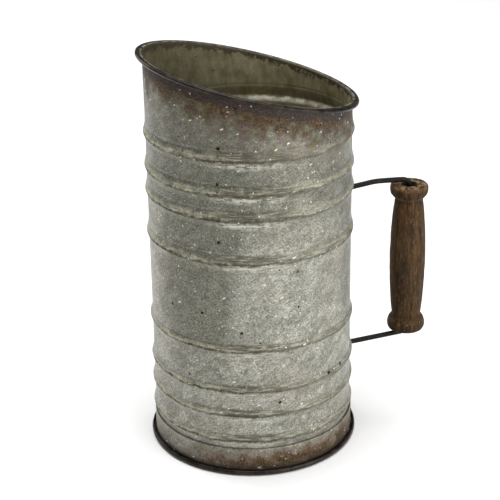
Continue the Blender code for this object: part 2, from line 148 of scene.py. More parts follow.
def node_points(name):
    """The corners of one CAD node."""
    return corners_of(frame["nodes"][name])


def radius_of(points):
    return np.hypot(points[:, 0], points[:, 1])


def azimuth(points):
    """Direction of each point round the axis, in degrees."""
    return np.degrees(np.arctan2(points[:, 1], points[:, 0]))


def rib_heights(body_radius):
    """Heights of the rib crests: the rings of corners that stand a rib's height proud."""
    points = node_points("body_shell")
    proud = radius_of(points) - body_radius
    crests = points[np.abs(proud - RIB_PROUD) < 0.05 * MM][:, 2]
    return sorted(set(np.round(crests, 4)), reverse=True)


def mouth_plane():
    """Height on the axis and slope along X of the plane through the mouth's rolled edge."""
    points = node_points("mouth_rim_wire")
    slope, height = np.polyfit(points[:, 0], points[:, 2], 1)
    return height, slope


def seam_direction():
    """Angle of the side seam: where corners stand a seam's thickness proud of the plain wall."""
    points = node_points("body_shell")
    proud = radius_of(points) - (wall_radius + SHEET / 2)
    on_seam = (np.abs(proud - SEAM_PROUD) < 0.06 * MM) & (points[:, 2] < 180 * MM)
    return np.median(np.arctan2(points[on_seam, 1], points[on_seam, 0]))


def ring_size(name):
    """Least and greatest distance of a node from the axis."""
    radii = radius_of(node_points(name))
    return radii.min(), radii.max()


def ring_middle(name):
    """Radius and height of the middle of a ring's section."""
    heights = node_points(name)[:, 2]
    return sum(ring_size(name)) / 2, (heights.min() + heights.max()) / 2


def middle(name):
    """The middle of a node's box."""
    low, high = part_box(name)
    return (low + high) / 2


# ---- mesh helpers


def placed(name, data):
    """A new object in the scene."""
    obj = bpy.data.objects.new(name, data)
    bpy.context.scene.collection.objects.link(obj)
    return obj


def finished(obj, material):
    """Gives a mesh its material and smooth shading."""
    obj.data.materials.append(material)
    obj.data.shade_smooth()
    return obj


def add_mesh(name, points, faces, material):
    mesh = bpy.data.meshes.new(name)
    mesh.from_pydata([tuple(p) for p in points], [], [tuple(f) for f in faces])
    mesh.update()
    return finished(placed(name, mesh), material)


def store(obj, name, values):
    """Keeps one number for each corner on the mesh, for its material to read."""
    kept = obj.data.attributes
    layer = kept.get(name) or kept.new(name, "FLOAT", "POINT")
    layer.data.foreach_set("value", np.asarray(values, np.float32))


def arc(centre, radius, start, end, count):
    """Points round a centre in the (radius, height) plane, angles in degrees."""
    turn = np.radians(np.linspace(start, end, count))
    return np.column_stack((centre[0] + radius * np.cos(turn), centre[1] + radius * np.sin(turn)))


def sheet_outline(midline, thickness):
    """Closed outline of a sheet along its middle line, and the direction that each point faces."""
    step = np.gradient(midline, axis=0)
    step /= np.linalg.norm(step, axis=1)[:, None]
    side = np.column_stack((-step[:, 1], step[:, 0]))
    left = midline + side * thickness / 2
    right = midline - side * thickness / 2
    return np.vstack((left, right[::-1])), np.vstack((side, -side[::-1]))


def turned(name, outline, material, steps=ROUND, warp=None):
    """A closed (radius, height) outline turned about Z into a ring."""
    outline = np.asarray(outline, float)
    ahead = np.roll(outline, -1, axis=0)
    radius = outline[:, 0]
    area = np.sum(radius * ahead[:, 1] - ahead[:, 0] * outline[:, 1])
    turn = 2 * math.pi * np.arange(steps) / steps
    x = np.outer(np.cos(turn), radius)
    y = np.outer(np.sin(turn), radius)
    z = np.tile(outline[:, 1], (steps, 1))
    points = np.stack((x, y, z), axis=-1).reshape(-1, 3)
    if warp is not None:
        points = warp(points)
    count = len(outline)
    i, j = np.meshgrid(np.arange(steps), np.arange(count), indexing="ij")
    i, j = i.ravel(), j.ravel()
    k, m = (i + 1) % steps, (j + 1) % count
    faces = np.column_stack((i * count + j, k * count + j, k * count + m, i * count + m))
    if area < 0:
        faces = faces[:, ::-1]
    return add_mesh(name, points, faces, material)


def tube(name, path, radius, material, sides=16):
    """A round wire along a path of points, with closed ends."""
    curve = bpy.data.curves.new(name, "CURVE")
    curve.dimensions = "3D"
    curve.bevel_depth = radius
    curve.bevel_resolution = sides // 4
    curve.use_fill_caps = True
    spline = curve.splines.new("POLY")
    spline.points.add(len(path) - 1)
    for point, place in zip(spline.points, path):
        point.co = (*place, 1.0)
    spline.use_smooth = True
    drawn = placed(name, curve)
    graph = bpy.context.evaluated_depsgraph_get()
    mesh = bpy.data.meshes.new_from_object(drawn.evaluated_get(graph))
    mesh.materials.clear()
    bpy.data.objects.remove(drawn)
    return finished(placed(name, mesh), material)


def rounded(corners, per_bend=14):
    """A path through (place, bend radius) corners, each bend an arc."""
    path = [Vector(corners[0][0])]
    for (before, _), (corner, radius), (after, _) in zip(corners, corners[1:], corners[2:]):
        corner = Vector(corner)
        into = (corner - Vector(before)).normalized()
        out = (Vector(after) - corner).normalized()
        turn = into.angle(out)
        start = corner - into * radius * math.tan(turn / 2)
        centre = start + (out - into * into.dot(out)).normalized() * radius
        axis = into.cross(out).normalized()
        for i in range(per_bend):
            swing = Matrix.Rotation(turn * i / (per_bend - 1), 3, axis)
            path.append(centre + swing @ (start - centre))
    path.append(Vector(corners[-1][0]))
    return path


def add_bevel(obj, width):
    bevel = obj.modifiers.new("edge", "BEVEL")
    bevel.width = width
    bevel.segments = 3
    bevel.limit_method = "ANGLE"
    bevel.angle_limit = SHARP


def own(obj, slot, *nodes, body=BODY):
    """Hangs a piece on the body it rides on and hides the CAD nodes it stands for; slot, its finish, is
    not used.
    """
    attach(obj, body)
    if nodes:
        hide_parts(*nodes)
    return obj


# ---- material helpers


class Shading:
    """Builds the node tree of one material."""

    def __init__(self, name):
        self.material = bpy.data.materials.new(name)
        self.material.use_nodes = True
        self.tree = self.material.node_tree
        self.shader = self.tree.nodes["Principled BSDF"]
        self.place = self.add("ShaderNodeTexCoord").outputs["Object"]
        self.unrolled = None

    def add(self, kind, inputs=None, **settings):
        node = self.tree.nodes.new(kind)
        for key, value in settings.items():
            setattr(node, key, value)
        for key, value in (inputs or {}).items():
            self.plug(node.inputs[key], value)
        return node

    def plug(self, socket, value):
        if isinstance(value, bpy.types.NodeSocket):
            self.tree.links.new(value, socket)
        elif socket.type == "RGBA":
            socket.default_value = (*value, 1.0)
        else:
            socket.default_value = value

    def stretched(self, scale, offset=(0.0, 0.0, 0.0)):
        """Object coordinates, scaled and shifted."""
        inputs = {"Vector": self.place, "Scale": scale, "Location": offset}
        return self.add("ShaderNodeMapping", inputs).outputs["Vector"]

    def unroll(self):
        """Lays the sheet flat: the way round it and its height, kept on the mesh, as coordinates."""
        flat = {"X": self.attribute("around"), "Y": self.attribute("rise")}
        self.unrolled = self.add("ShaderNodeCombineXYZ", flat).outputs["Vector"]

    def brushed(self, turn, length):
        """Flat coordinates drawn out this many times along a slanting direction."""
        slant = (0.0, 0.0, math.radians(turn))
        inputs = {"Vector": self.unrolled, "Rotation": slant, "Scale": (length, 1.0, 1.0)}
        return self.add("ShaderNodeMapping", inputs, vector_type="TEXTURE").outputs["Vector"]

    def noise(self, size, detail=4.0, roughness=0.5, where=None, distortion=0.0):
        """Soft noise with blobs of about this size in metres."""
        inputs = {"Vector": where or self.place, "Scale": 1 / size, "Detail": detail}
        inputs |= {"Roughness": roughness, "Distortion": distortion}
        return self.add("ShaderNodeTexNoise", inputs).outputs["Fac"]

    def cells(self, size, where, **settings):
        """A cell pattern's node: its Distance and Color outputs are used."""
        return self.add("ShaderNodeTexVoronoi", {"Vector": where, "Scale": 1 / size}, **settings)

    def channel(self, colour, index):
        """One of a colour's three numbers."""
        return self.add("ShaderNodeSeparateColor", {"Color": colour}).outputs[index]

    def attribute(self, name):
        return self.add("ShaderNodeAttribute", attribute_name=name).outputs["Fac"]

    def between(self, value, low, high, out_low=0.0, out_high=1.0):
        """Takes low..high to the output range, smoothly and clamped."""
        inputs = {"Value": value, "From Min": low, "From Max": high}
        inputs |= {"To Min": out_low, "To Max": out_high}
        node = self.add("ShaderNodeMapRange", inputs, interpolation_type="SMOOTHSTEP")
        return node.outputs["Result"]

    def maths(self, operation, a, b):
        node = self.add("ShaderNodeMath", operation=operation)
        self.plug(node.inputs[0], a)
        self.plug(node.inputs[1], b)
        return node.outputs["Value"]

    def times(self, a, b):
        return self.maths("MULTIPLY", a, b)

    def mixed(self, share, a, b, blend="MIX"):
        """Colours a and b mixed by this share."""
        node = self.add("ShaderNodeMix", data_type="RGBA", blend_type=blend)
        self.plug(node.inputs[0], share)
        self.plug(node.inputs[6], a)
        self.plug(node.inputs[7], b)
        return node.outputs[2]

    def shaded(self, colour, level):
        """A colour made darker or lighter by a level round 1."""
        return self.mixed(1.0, colour, level, "MULTIPLY")

    def bumped(self, heights):
        """Chains bumps from (height, depth in metres, strength) rows."""
        normal = None
        for height, depth, strength in heights:
            inputs = {"Height": height, "Distance": depth, "Strength": strength}
            if normal is not None:
                inputs["Normal"] = normal
            normal = self.add("ShaderNodeBump", inputs).outputs["Normal"]
        self.plug(self.shader.inputs["Normal"], normal)

    def surface(self, colour, roughness, metallic, specular=0.5):
        """Finishes the material with these numbers, colours or sockets."""
        inputs = {"Base Color": colour, "Roughness": roughness, "Metallic": metallic}
        inputs["Specular IOR Level"] = specular
        for name, value in inputs.items():
            self.plug(self.shader.inputs[name], value)
        return self.material


def grey(level, warmth=0.0):
    """A nearly neutral colour; warmth shifts it from blue towards yellow."""
    return (level * (1 + warmth * 0.35), level * (1 + warmth * 0.35), level * (1 - warmth))


def spots(s, size, turn, length, share, reach):
    """Small ragged spots: some cells of a pattern have one in the middle, the others have none."""
    cells = s.cells(size, s.brushed(turn, length), voronoi_dimensions="2D")
    chosen = s.between(s.channel(cells.outputs["Color"], 0), 1 - share, 1.01 - share)
    ragged = s.between(s.noise(0.5 * MM, 2.0), 0.3, 0.7, -0.3 * reach, 0.3 * reach)
    smaller = s.between(s.channel(cells.outputs["Color"], 1), 0.0, 1.0, 0.9, 2.4)
    away = s.maths("ADD", s.times(cells.outputs["Distance"], smaller), ragged)
    return s.times(s.between(away, reach, 0.7 * reach), chosen)


def scratched(s, colour, grain):
    """Varies a colour by its grain, by slanting hairlines and by broader brush marks."""
    hairs = s.noise(0.8 * MM, 3.0, 0.65, s.brushed(28, 6.0))
    crossing = s.noise(0.8 * MM, 3.0, 0.65, s.brushed(-52, 5.0))
    brush = s.noise(3.2 * MM, 3.0, 0.6, s.brushed(34, 5.0))
    for lines, reach in ((hairs, 0.18), (crossing, 0.15), (brush, 0.12), (grain, 0.56)):
        colour = s.shaded(colour, s.between(lines, 0.3, 0.7, 1 - reach, 1 + reach))
    return colour


def zinc_colour(s, patches, grain):
    """Mottled zinc with a faint spangle, deeper where it is tarnished and where shade is painted."""
    broad = s.noise(38 * MM, 3.0, 0.55)
    spangle = s.channel(s.cells(5.5 * MM, s.place).outputs["Color"], 0)
    colour = s.mixed(s.between(patches, 0.35, 0.65), grey(0.228, 0.13), grey(0.293, 0.11))
    colour = s.mixed(s.between(broad, 0.42, 0.62, 0.0, 0.45), colour, BROWN_CAST)
    colour = s.mixed(0.17, colour, spangle, "OVERLAY")
    # Darker in one broad patch and over the top: partly tarnish, partly painted shade in place of a dark
    # reflection
    ragged = s.maths("ADD", s.attribute("tarnish_and_shade"), s.between(patches, 0.3, 0.7, -0.2, 0.2))
    colour = s.mixed(s.between(ragged, 0.05, 1.0, 0.0, 0.7), colour, grey(0.097, 0.2))
    return scratched(s, colour, grain)


def flank_highlight_and_shade(s, colour, blotches, streaks):
    """The ribs' upper flanks: a pale, yellowish painted highlight, or painted shade on one stretch."""
    flank = s.attribute("flank")
    # A painted highlight on the upper flanks, in blotches, and weaker on the front right side
    pale = s.times(flank, s.between(blotches, 0.34, 0.6, 0.1, 1.0))
    highlight_by_side = s.between(s.attribute("front_right_side"), 0.6, 1.0, 0.95, 0.5)
    tint = s.mixed(s.between(streaks, 0.4, 0.62), FLANK_HIGHLIGHT_DIM, FLANK_HIGHLIGHT)
    colour = s.mixed(s.times(pale, highlight_by_side), colour, tint)
    # Painted shade on the flanks along one stretch, streaked
    in_shade = s.times(flank, s.attribute("flank_shade"))
    in_shade = s.times(in_shade, s.between(streaks, 0.64, 0.4, 0.25, 0.9))
    return s.mixed(in_shade, colour, FLANK_SHADE)


def ribbed_zinc(s, colour):
    """Painted highlights and shade on the ribs' upper flanks, painted olive and brown shade lines along
    their crests, a painted highlight line below.
    """
    blotches = s.noise(4 * MM, 5.0, 0.7)
    streaks = s.noise(1.3 * MM, 4.0, 0.7, s.brushed(0, 9.0))
    colour = flank_highlight_and_shade(s, colour, blotches, streaks)
    # Painted shade lines along the crests, in blotches and weaker on the front right side
    crest_shade = s.times(s.attribute("shade_line"), s.between(blotches, 0.62, 0.4, 0.5, 1.0))
    crest_shade = s.times(crest_shade, s.between(s.attribute("front_right_side"), 0.8, 1.0, 1.0, 0.6))
    colour = s.mixed(crest_shade, colour, s.mixed(s.between(blotches, 0.4, 0.6), SHADE_OLIVE, SHADE_BROWN))
    # A painted highlight line under the crests, broken up
    fine, coarse = s.between(streaks, 0.3, 0.7, 0.0, 0.6), s.between(blotches, 0.3, 0.7, 0.0, 0.4)
    broken = s.between(s.maths("ADD", fine, coarse), 0.34, 0.66)
    return s.mixed(s.times(s.attribute("painted_highlight"), broken), colour, ZINC_HIGHLIGHT)


def rust_colour(s, patches, grain):
    """Brown rust with orange and olive crumbs."""
    crumbs = s.noise(1.4 * MM, 4.0, 0.8)
    colour = s.mixed(s.between(grain, 0.44, 0.58), RUST_DARK, RUST_BROWN)
    colour = s.mixed(s.between(crumbs, 0.51, 0.6, 0.0, 0.75), colour, RUST_ORANGE)
    return s.mixed(s.between(patches, 0.52, 0.68, 0.0, 0.6), colour, RUST_OLIVE)


def rusted_mouth(s, colour, rust, outside, grain):
    """A ragged rust band under the mouth, a purplish dark band just under the rim, and a mauve and olive
    halo.
    """
    drop = s.attribute("drop")
    ragged = s.noise(8 * MM, 6.0, 0.7)
    tint = s.mixed(s.between(s.noise(7 * MM, 5.0, 0.7), 0.42, 0.58), HALO_MAUVE, HALO_OLIVE)
    halo = s.times(s.between(drop, 42 * MM, 14 * MM), s.between(ragged, 0.4, 0.6, 0.05, 0.7))
    colour = s.mixed(s.times(halo, outside), colour, tint)
    reach = s.between(ragged, 0.3, 0.7, 11 * MM, 30 * MM)
    near = s.between(s.maths("DIVIDE", drop, reach), 1.15, 0.35)
    colour = s.mixed(s.times(near, outside), colour, rust)
    ragged_drop = s.maths("ADD", drop, s.between(ragged, 0.3, 0.7, -1.5 * MM, 1.5 * MM))
    edge = s.between(ragged_drop, 8.5 * MM, 5.5 * MM, 0.0, 0.85)
    violet = s.mixed(s.between(grain, 0.4, 0.64), VIOLET_DARK, VIOLET_PALE)
    return s.mixed(s.times(edge, outside), colour, violet), near


def rusted_foot(s, colour, rust, patches):
    """Brown stains that deepen down the foot's sleeve, and a darkening towards its bottom."""
    rise = s.attribute("rise")
    stained = s.between(s.attribute("front_right_side"), 0.4, 1.0, 0.45, 1.3)
    near = s.times(s.between(rise, 22 * MM, 8 * MM), stained)
    stain = s.times(near, s.between(patches, 0.35, 0.6, 0.45, 0.95))
    colour = s.mixed(stain, colour, FOOT_STAIN)
    rusty = s.between(s.noise(10 * MM, 5.0, 0.7), 0.42, 0.56, 0.0, 0.85)
    colour = s.mixed(s.times(near, rusty), colour, rust)
    # Darker towards the bottom of the sleeve
    return s.mixed(s.between(rise, 10 * MM, 2.5 * MM, 0.0, 0.8), colour, FOOT_BOTTOM_DARK), near


def inside_stains_and_painted_light(s, patches, grain):
    """The inner face: olive brown, painted lighter towards +X, with a painted highlight in the ribs'
    hollows and dark rust under the rim.
    """
    colour = s.mixed(s.between(patches, 0.3, 0.7), INSIDE_DARK, INSIDE_PALE)
    smears = s.noise(3 * MM, 4.0, 0.6, s.brushed(82, 7.0))
    colour = s.shaded(colour, s.between(smears, 0.3, 0.7, 0.86, 1.14))
    colour = s.shaded(colour, s.between(grain, 0.3, 0.7, 0.85, 1.15))
    # Painted light: the inner face made up to 2.4 times lighter towards +X
    side = s.add("ShaderNodeSeparateXYZ", {"Vector": s.place}).outputs["X"]
    colour = s.shaded(colour, s.between(side, -30 * MM, 55 * MM, 1.0, 2.4))
    # Painted highlight in the ribs' hollows, on the +X side
    bright = s.times(s.between(patches, 0.38, 0.6, 0.3, 1.0), s.between(side, -5 * MM, 30 * MM))
    colour = s.mixed(s.times(s.attribute("painted_highlight"), bright), colour, INSIDE_HIGHLIGHT)
    reach = s.between(s.noise(5 * MM, 5.0, 0.7), 0.35, 0.65, 0.4 * MM, 4.8 * MM)
    under = s.between(s.maths("DIVIDE", s.attribute("drop"), reach), 1.3, 0.5, 0.0, 0.85)
    return s.mixed(under, colour, INSIDE_RUST)


def galvanised_material():
    """Dull, aged zinc: ribs with painted highlights and painted shade, a broad patch of tarnish and
    painted shade, the inside painted lighter towards +X, rust at both ends, white specks and dark pits.
    """
    s = Shading("galvanised_sheet")
    s.unroll()
    patches = s.noise(9 * MM, 5.0, 0.62)
    grain = s.noise(1.0 * MM, 4.0, 0.8)
    inside = s.attribute("inside")
    outside = s.maths("SUBTRACT", 1.0, inside)
    rust = rust_colour(s, patches, grain)

    colour = ribbed_zinc(s, zinc_colour(s, patches, grain))
    colour, mouth = rusted_mouth(s, colour, rust, outside, grain)
    colour, foot = rusted_foot(s, colour, rust, patches)
    colour = s.mixed(inside, colour, inside_stains_and_painted_light(s, patches, grain))

    strokes = spots(s, 3.4 * MM, 22, 2.4, 0.12, 0.14)
    flecks = spots(s, 3.0 * MM, -50, 1.5, 0.12, 0.15)
    bright = s.times(s.maths("MAXIMUM", strokes, flecks), 0.75)
    colour = s.mixed(s.times(bright, outside), colour, grey(0.7, 0.06))
    pit = spots(s, 12 * MM, 0, 1.0, 0.13, 0.1)
    colour = s.mixed(pit, colour, PIT_BLACK)

    dull = s.maths("MAXIMUM", s.maths("MAXIMUM", mouth, foot), s.times(inside, 0.8))
    dull = s.maths("MAXIMUM", dull, s.times(s.attribute("flank"), 0.75))
    roughness = s.maths("ADD", s.between(patches, 0.3, 0.7, 0.35, 0.46), s.times(dull, 0.18))
    s.bumped([(patches, 0.3 * MM, 0.3), (grain, 0.16 * MM, 0.45), (pit, -0.3 * MM, 0.6)])
    return s.surface(colour, roughness, s.between(dull, 0.0, 1.0, 0.66, 0.1), 0.2)


def rim_material():
    """Worn, dark, rusty rolled edges with the bare metal showing through in places."""
    s = Shading("rolled_rim")
    patches = s.noise(5 * MM, 5.0, 0.65)
    grain = s.noise(0.9 * MM, 3.0, 0.7)
    colour = s.mixed(s.between(patches, 0.42, 0.62), ROLL_BLACK, ROLL_BROWN)
    colour = s.mixed(s.between(grain, 0.6, 0.75, 0.0, 0.4), colour, ROLL_CRUMB)
    bare = s.times(s.attribute("worn"), s.between(patches, 0.4, 0.6, 0.1, 0.85))
    colour = s.mixed(bare, colour, ROLL_BARE)
    s.bumped([(patches, 0.2 * MM, 0.3), (grain, 0.12 * MM, 0.5)])
    return s.surface(colour, s.between(patches, 0.3, 0.7, 0.25, 0.4), 0.15, 0.2)


def wire_material():
    """Dark oxidised wire with a breath of brown rust."""
    s = Shading("dark_wire")
    patches = s.noise(4 * MM, 5.0, 0.65)
    grain = s.noise(0.7 * MM, 3.0, 0.7)
    colour = s.mixed(s.between(patches, 0.45, 0.68), WIRE_BLACK, WIRE_BROWN)
    colour = s.mixed(s.between(grain, 0.6, 0.78, 0.0, 0.3), colour, WIRE_CRUMB)
    s.bumped([(patches, 0.15 * MM, 0.3), (grain, 0.08 * MM, 0.5)])
    return s.surface(colour, s.between(patches, 0.3, 0.7, 0.36, 0.52), 0.1, 0.12)


def cloth_material():
    """Tinned wire, grey and a little dusty."""
    s = Shading("wire_cloth")
    patches = s.noise(7 * MM, 4.0, 0.6)
    colour = s.mixed(s.between(patches, 0.4, 0.65), grey(0.34, 0.08), CLOTH_DUST)
    s.bumped([(s.noise(0.8 * MM, 2.0), 0.05 * MM, 0.3)])
    return s.surface(colour, s.between(patches, 0.3, 0.7, 0.35, 0.5), 0.85)


def wood_material(axis_x):
    """Dry dark brown turned wood: long grain, tan flecks, worn pale edges, open cracks, and painted shade
    in its grooves and bore.
    """
    s = Shading("weathered_wood")
    along = s.stretched((1.0, 1.0, 0.09), (-axis_x, 0.0, 0.0))
    fibres = s.noise(1.0 * MM, 6.0, 0.7, along)
    streaks = s.noise(3.5 * MM, 4.0, 0.6, along, 0.5)
    flecks = s.noise(1.1 * MM, 4.0, 0.75, s.stretched((1.0, 1.0, 0.28)))
    blotches = s.noise(14 * MM, 4.0, 0.6)
    colour = s.mixed(s.between(streaks, 0.35, 0.66), WOOD_DARK, WOOD_BROWN)
    colour = s.mixed(s.between(blotches, 0.45, 0.68, 0.0, 0.35), colour, WOOD_GREY)
    colour = s.mixed(s.between(flecks, 0.53, 0.66, 0.0, 0.8), colour, WOOD_TAN)
    colour = s.mixed(s.between(fibres, 0.48, 0.36, 0.0, 0.85), colour, WOOD_CRACK)
    bare = s.times(s.attribute("worn"), s.between(flecks, 0.46, 0.6, 0.0, 0.75))
    colour = s.mixed(bare, colour, WOOD_WORN)
    sawn = s.mixed(s.between(s.noise(2.6 * MM, 5.0, 0.7), 0.46, 0.58), SAWN_DARK, SAWN_TAN)
    colour = s.mixed(s.times(s.attribute("end"), 0.85), colour, sawn)
    # Painted shade in the grip's grooves and bore
    colour = s.mixed(s.attribute("recess_shade"), colour, WOOD_RECESS_SHADE)
    s.bumped([(fibres, 0.4 * MM, 0.6), (streaks, 0.3 * MM, 0.3), (flecks, 0.25 * MM, 0.45)])
    return s.surface(colour, s.between(streaks, 0.3, 0.7, 0.65, 0.82), 0.0, 0.15)


def floor_material():
    s = Shading("studio_floor")
    tone = s.mixed(s.noise(0.4), grey(0.93), grey(0.95))
    return s.surface(tone, 0.6, 0.0)


# ---- sheet metal


def above_rib(height, crest, width):
    """Height above a rib's crest, stretched on the upper side of a narrow rib to match a full one."""
    return (height - crest) / np.where(height > crest, width, 1)


def hump(value, middle, width):
    """1 in the middle, fading smoothly to 0 a little beyond the width."""
    return np.exp(-(((value - middle) / width) ** 2))


def rib_profile(height):
    """How proud the wall stands: ribs with a tight crest, a steep lower flank and a faint lip above."""
    proud = np.zeros_like(height)
    for crest, width in zip(ribs, rib_widths):
        above = above_rib(height, crest, width)
        reach = np.where(above > 0, RIB_UPPER_FLANK, RIB_LOWER_FLANK)
        far = np.sqrt(above**2 + RIB_CREST_ROUNDING**2) - RIB_CREST_ROUNDING
        share = np.clip(1 - far / reach, 0, 1)
        lip = RIB_LIP * hump(above, RIB_LIP_ABOVE, RIB_LIP_WIDTH)
        proud = np.maximum(proud, RIB_PROUD * share**RIB_FLARE + lip)
    return proud


def smooth_step(value, low, high):
    """0 at low, 1 at high, and smooth between."""
    share = np.clip((value - low) / (high - low), 0, 1)
    return share * share * (3 - 2 * share)


def bands(height, *edges):
    """1 between the middle two of four heights above each rib's crest, fading to 0 at the outer two."""
    found = np.zeros_like(height)
    low, low_full, high_full, high = (edge * MM for edge in edges)
    for crest, width in zip(ribs, rib_widths):
        above = above_rib(height, crest, width)
        band = smooth_step(above, low, low_full) * smooth_step(above, high, high_full)
        found = np.maximum(found, band)
    return found


def wobbled(place):
    """Heights that wander a little, so that no stain, painted shade or painted highlight runs round dead
    level.
    """
    wander = [
        WANDER * noise.noise(Vector(p) / (13 * MM)) + WANDER * noise.noise(Vector(p) / (3.2 * MM))
        for p in place
    ]
    return place[:, 2] + np.array(wander)


def upper_flank(height, in_shade):
    """The side of each rib above its crest: to its top where its flank is painted in shade, or else
    fading upwards.
    """
    return np.maximum(bands(height, -0.6, 0.2, 1.4, 5.4), in_shade * bands(height, -0.6, 0.2, 4.4, 6.6))


def shade_lines(height, in_shade):
    """Where dark lines of shade are painted: along each crest and, where the flank is painted in shade,
    along the top of its upper flank.
    """
    top = 0.5 * in_shade * bands(height, 4.3, 5.2, 5.8, 6.8)
    return np.maximum(bands(height, -1.2, -0.4, 0.4, 1.2), top)


def highlight_line(height):
    """Where a highlight is painted: a line just under each crest."""
    return bands(height, -6.5, -3.2, -2.0, -1.2)


def inner_groove(height):
    """The upward part of each rib's hollow side, where a highlight is painted inside."""
    return bands(height, -4.6, -2.0, -1.4, -0.2)


def flank_shade(place):
    """Where shade is painted on the ribs' flanks: one stretch, and less beyond it on the lower ribs."""
    turn = azimuth(place)
    beyond = 0.8 * smooth_step(place[:, 2], 0.18, 0.155) * smooth_step(turn, 60, 0)
    return smooth_step(turn, -136, -114) * np.maximum(smooth_step(turn, -60, -96), beyond)


def highlight_stretch(place):
    """Where the painted highlight under the ribs lies: most on one stretch, a little beside it."""
    turn = azimuth(place)
    return smooth_step(turn, -132, -116) * (0.1 + 0.9 * smooth_step(turn, -76, -98))


def front_right_side(place):
    """0 at the back on the left, 1 at the front on the right as the camera sees the wall; it weights the
    ribs' painted highlight and shade, and the foot's stain, by side.
    """
    turn = np.arctan2(place[:, 1], place[:, 0])
    return 0.5 + 0.5 * np.cos(turn + math.radians(60))


def tarnish_and_shade(place):
    """How dark the wall is made: one broad patch from low down to the mouth, partly tarnish and partly
    painted shade in place of a dark reflection, and all of its top.
    """
    turn = azimuth(place)
    height = place[:, 2]
    right_edge = -116 + 14 * smooth_step(height, 0.13, 0.19)
    patch = smooth_step(turn, right_edge + 9, right_edge - 9) * smooth_step(turn, -185, -145)
    patch *= 0.5 * smooth_step(height, 0.045, 0.065) + 0.5 * smooth_step(height, 0.078, 0.1)
    return np.maximum(patch, 0.8 * smooth_step(height, 0.125, 0.195))


def way_round(place):
    """Distance round the wall from its side seam."""
    turn = np.arctan2(place[:, 1], place[:, 0]) - seam_angle
    return np.mod(turn + 1e-6, 2 * math.pi) * wall_radius


def store_zinc(obj, flank, shade_line, painted_highlight, inside):
    """Everything that the galvanised material reads, for a piece of the wall."""
    place = corners_of(obj)
    read = {
        "shade_line": shade_line,
        "painted_highlight": painted_highlight * np.where(inside > 0, 1, highlight_stretch(place)),
        "around": way_round(place),
        "flank": flank,
        "inside": inside,
        "drop": mouth_height + mouth_slope * place[:, 0] - place[:, 2],
        "rise": place[:, 2],
        "tarnish_and_shade": tarnish_and_shade(place),
        "flank_shade": flank_shade(place),
        "front_right_side": front_right_side(place),
    }
    for name, values in read.items():
        store(obj, name, values)


def wall_heights(top, bottom):
    """Heights down the wall, closer together on the ribs."""
    low, high = -RIB_LOWER_FLANK - 1 * MM, RIB_UPPER_FLANK + 3 * MM
    heights = [top]
    while heights[-1] > bottom + 0.2 * MM:
        here = heights[-1]
        on_rib = any(low < here - crest < high for crest in ribs)
        heights.append(here - (FINE_ROW if on_rib else ROUGH_ROW))
    heights[-1] = bottom
    return np.array(heights)


def hand_made(points):
    """Slight dents and out-of-round, as old sheet has."""
    out = points.copy()
    for i, (x, y, z) in enumerate(points):
        turn = Vector((x, y, z)) / math.hypot(x, y)
        wave = noise.noise(Vector((x, y, z * 0.6)) * 28.0) * 0.22 * MM
        dent = noise.noise(Vector((x + 3.0, y, z)) * 95.0) * 0.07 * MM
        out[i, 0] += turn.x * (wave + dent)
        out[i, 1] += turn.y * (wave + dent)
    return out


def slanted(points, start, rim_base, slope):
    """Leans the mouth, as the CAD does: the rim moves as one and the wall below stretches."""
    share = np.clip((points[:, 2] - start) / (rim_base - start), 0, 1)
    out = points.copy()
    out[:, 2] += slope * points[:, 0] * share
    return out


def wall_line():
    """The middle of the wall's sheet in section: its rolled edge, flange, bend and ribbed wall."""
    ring_radius, _ = ring_middle("mouth_rim_wire")
    curl = arc((ring_radius, mouth_height), MOUTH_ROLL, -190, 90, 26)
    top = mouth_height + MOUTH_ROLL
    bend = arc((wall_radius + MOUTH_BEND, top - MOUTH_BEND), MOUTH_BEND, 90, 180, 10)
    reach = np.linspace(curl[-1, 0], bend[0, 0], 8)[1:-1]
    flange = np.column_stack((reach, np.full(len(reach), top)))
    heights = wall_heights(top - MOUTH_BEND - FINE_ROW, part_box("body_shell")[0].z)
    wall = np.column_stack((wall_radius + rib_profile(heights), heights))
    return curl, flange, bend, wall


def store_wall(obj, outline, facing, rim_rows):
    """Stains, painted shade and painted highlights of the wall, by heights from before its mouth was
    slanted.
    """
    place = corners_of(obj)
    place[:, 2] = np.tile(outline[:, 1], ROUND)
    height = wobbled(place)
    in_shade = flank_shade(place)
    row = np.arange(len(outline))
    inside = np.where(facing[:, 0] < -0.2, 1.0, 0.0)
    inside[(row < rim_rows) | (row > len(row) - rim_rows)] = 0
    outer = np.tile(facing[:, 0] > 0, ROUND)
    flank = np.where(outer, upper_flank(height, in_shade), 0)
    shade_line = np.where(outer, shade_lines(height, in_shade), 0)
    painted_highlight = np.where(outer, highlight_line(height), inner_groove(height))
    store_zinc(obj, flank, shade_line, painted_highlight, np.tile(inside, ROUND))


def wall_piece(material, rim):
    """The ribbed wall with its mouth turned out into a flange and rolled over."""
    parts = wall_line()
    outline, facing = sheet_outline(np.vstack(parts), SHEET)
    rim_base = mouth_height + MOUTH_ROLL + SHEET / 2 - RIM_HEIGHT
    start = max(ribs) + SLANT_START

    def warp(points):
        return slanted(hand_made(points), start, rim_base, mouth_slope)

    obj = turned("ribbed_wall", outline, material, warp=warp)
    curl_rows, flange_rows = len(parts[0]), len(parts[1])
    store_wall(obj, outline, facing, curl_rows + 6)
    rows = len(outline)
    worn_from, worn_to = curl_rows + 5, curl_rows + flange_rows + 4
    worn = np.zeros(rows)
    worn[rows - worn_to:rows - worn_from] = 1
    store(obj, "worn", np.tile(worn, ROUND))
    row = np.arange(rows)
    paint_rim(obj, rim, (row < worn_to) | (row >= rows - worn_to))
    return own(obj, "galvanised_sheet", "body_shell")


